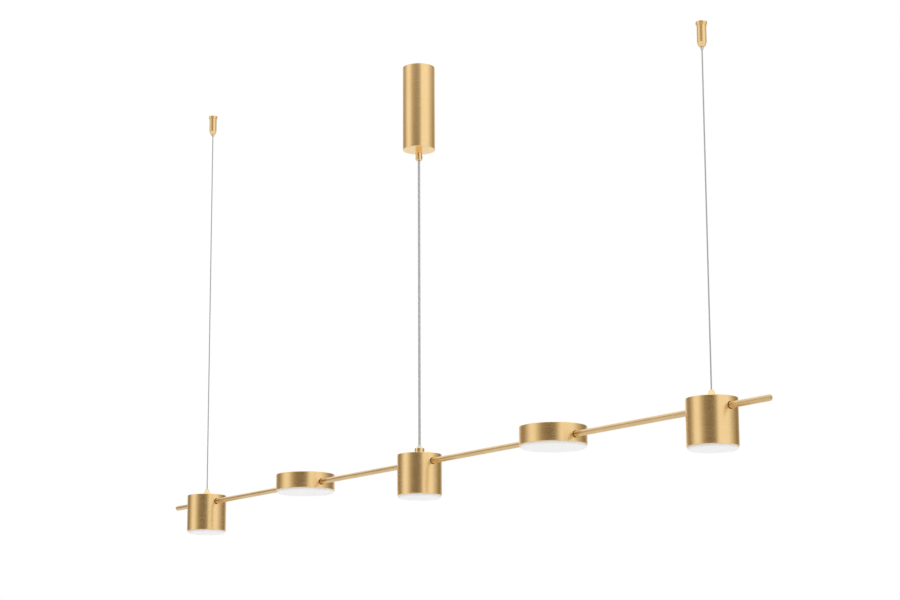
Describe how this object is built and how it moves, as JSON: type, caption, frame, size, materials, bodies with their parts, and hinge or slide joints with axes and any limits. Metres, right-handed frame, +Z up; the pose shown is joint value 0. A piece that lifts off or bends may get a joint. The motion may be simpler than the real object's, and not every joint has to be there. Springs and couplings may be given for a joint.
{
  "type": "linear island pendant light",
  "caption": "Long straight pendant light: drum and flat disc heads on a thin horizontal rod, hung by side wires and a power cable from a cylinder canopy and slim ceiling grippers.",
  "frame": {"origin": "centre of the canopy bracket's ceiling face", "axes": "+Z up, +X along the rod towards the right end in the picture, -Y towards the picture's camera side"},
  "size_m": [1.556, 0.101, 0.8005],
  "materials": {
    "satin_brass": "brushed satin brass",
    "opal": "opal acrylic, satin",
    "bare_aluminium": "mill finish",
    "board_white": "white solder mask",
    "steel": "zinc-plated",
    "nickel": "nickel-plated",
    "wire_steel": "stranded stainless wire",
    "clear_cable": "clear sheath over tinned conductors",
    "clear_sleeve": "soft translucent plastic",
    "lead_sheath": "silicone-insulated leads",
    "case_white": "moulded case"
  },
  "bodies": {
    "ceiling_mount": {"ceiling_bracket": "steel", "canopy_stem": "steel", "stem_nut": "steel", "driver": "case_white", "driver_screws": "steel", "terminal_block": "case_white"},
    "canopy": {"canopy_cover": "satin_brass", "canopy_nipple": "satin_brass", "nipple_screw": "steel"},
    "pendant": {"rod_tube": "satin_brass", "rod_leads": "lead_sheath", "left_rod_cap": "satin_brass", "right_rod_cap": "satin_brass", "left_drum_shell": "satin_brass", "left_drum_heat_sink": "bare_aluminium", "left_drum_led_board": "board_white", "left_drum_diffuser": "opal", "left_drum_grub_screw": "steel", "middle_drum_shell": "satin_brass", "middle_drum_heat_sink": "bare_aluminium", "middle_drum_led_board": "board_white", "middle_drum_diffuser": "opal", "middle_drum_grub_screw": "steel", "right_drum_shell": "satin_brass", "right_drum_heat_sink": "bare_aluminium", "right_drum_led_board": "board_white", "right_drum_diffuser": "opal", "right_drum_grub_screw": "steel", "cable_gland": "satin_brass", "gland_grommet": "clear_sleeve", "gland_screw": "steel", "power_cable": "clear_cable", "left_wire": "wire_steel", "right_wire": "wire_steel", "left_wire_ferrule": "satin_brass", "right_wire_ferrule": "satin_brass"},
    "left_disc": {"left_disc_shell": "satin_brass", "left_disc_heat_sink": "bare_aluminium", "left_disc_led_board": "board_white", "left_disc_diffuser": "opal", "left_disc_grub_screw": "steel"},
    "right_disc": {"right_disc_shell": "satin_brass", "right_disc_heat_sink": "bare_aluminium", "right_disc_led_board": "board_white", "right_disc_diffuser": "opal", "right_disc_grub_screw": "steel"},
    "left_gripper": {"left_ceiling_cap": "satin_brass", "left_grip_body": "satin_brass"},
    "right_gripper": {"right_ceiling_cap": "satin_brass", "right_grip_body": "satin_brass"},
    "left_nozzle": {"left_grip_nozzle": "nickel", "left_grip_spring": "steel"},
    "right_nozzle": {"right_grip_nozzle": "nickel", "right_grip_spring": "steel"}
  },
  "joints": [
    {"name": "pendant_height", "type": "slide", "parent": "ceiling_mount", "child": "pendant", "axis": [0, 0, 1], "range_m": [0, 0.12]},
    {"name": "canopy_drop", "type": "slide", "parent": "ceiling_mount", "child": "canopy", "axis": [0, 0, 1], "range_m": [-0.12, 0]},
    {"name": "left_disc_swivel", "type": "hinge", "parent": "pendant", "child": "left_disc", "pos_m": [-0.334, 0, -0.66], "axis": [1, 0, 0], "range_deg": [-30, 30]},
    {"name": "right_disc_swivel", "type": "hinge", "parent": "pendant", "child": "right_disc", "pos_m": [0.334, 0, -0.66], "axis": [1, 0, 0], "range_deg": [-30, 30]},
    {"name": "left_gripper_slide", "type": "slide", "parent": "pendant", "child": "left_gripper", "axis": [0, 0, 1], "range_m": [-0.3, 0]},
    {"name": "right_gripper_slide", "type": "slide", "parent": "pendant", "child": "right_gripper", "axis": [0, 0, 1], "range_m": [-0.3, 0]},
    {"name": "left_nozzle_push", "type": "slide", "parent": "left_gripper", "child": "left_nozzle", "axis": [0, 0, 1], "range_m": [0, 0.0025], "stiffness_N_per_m": 400, "springref_m": -0.002, "deforming": ["left_grip_spring"]},
    {"name": "right_nozzle_push", "type": "slide", "parent": "right_gripper", "child": "right_nozzle", "axis": [0, 0, 1], "range_m": [0, 0.0025], "stiffness_N_per_m": 400, "springref_m": -0.002, "deforming": ["right_grip_spring"]}
  ]
}
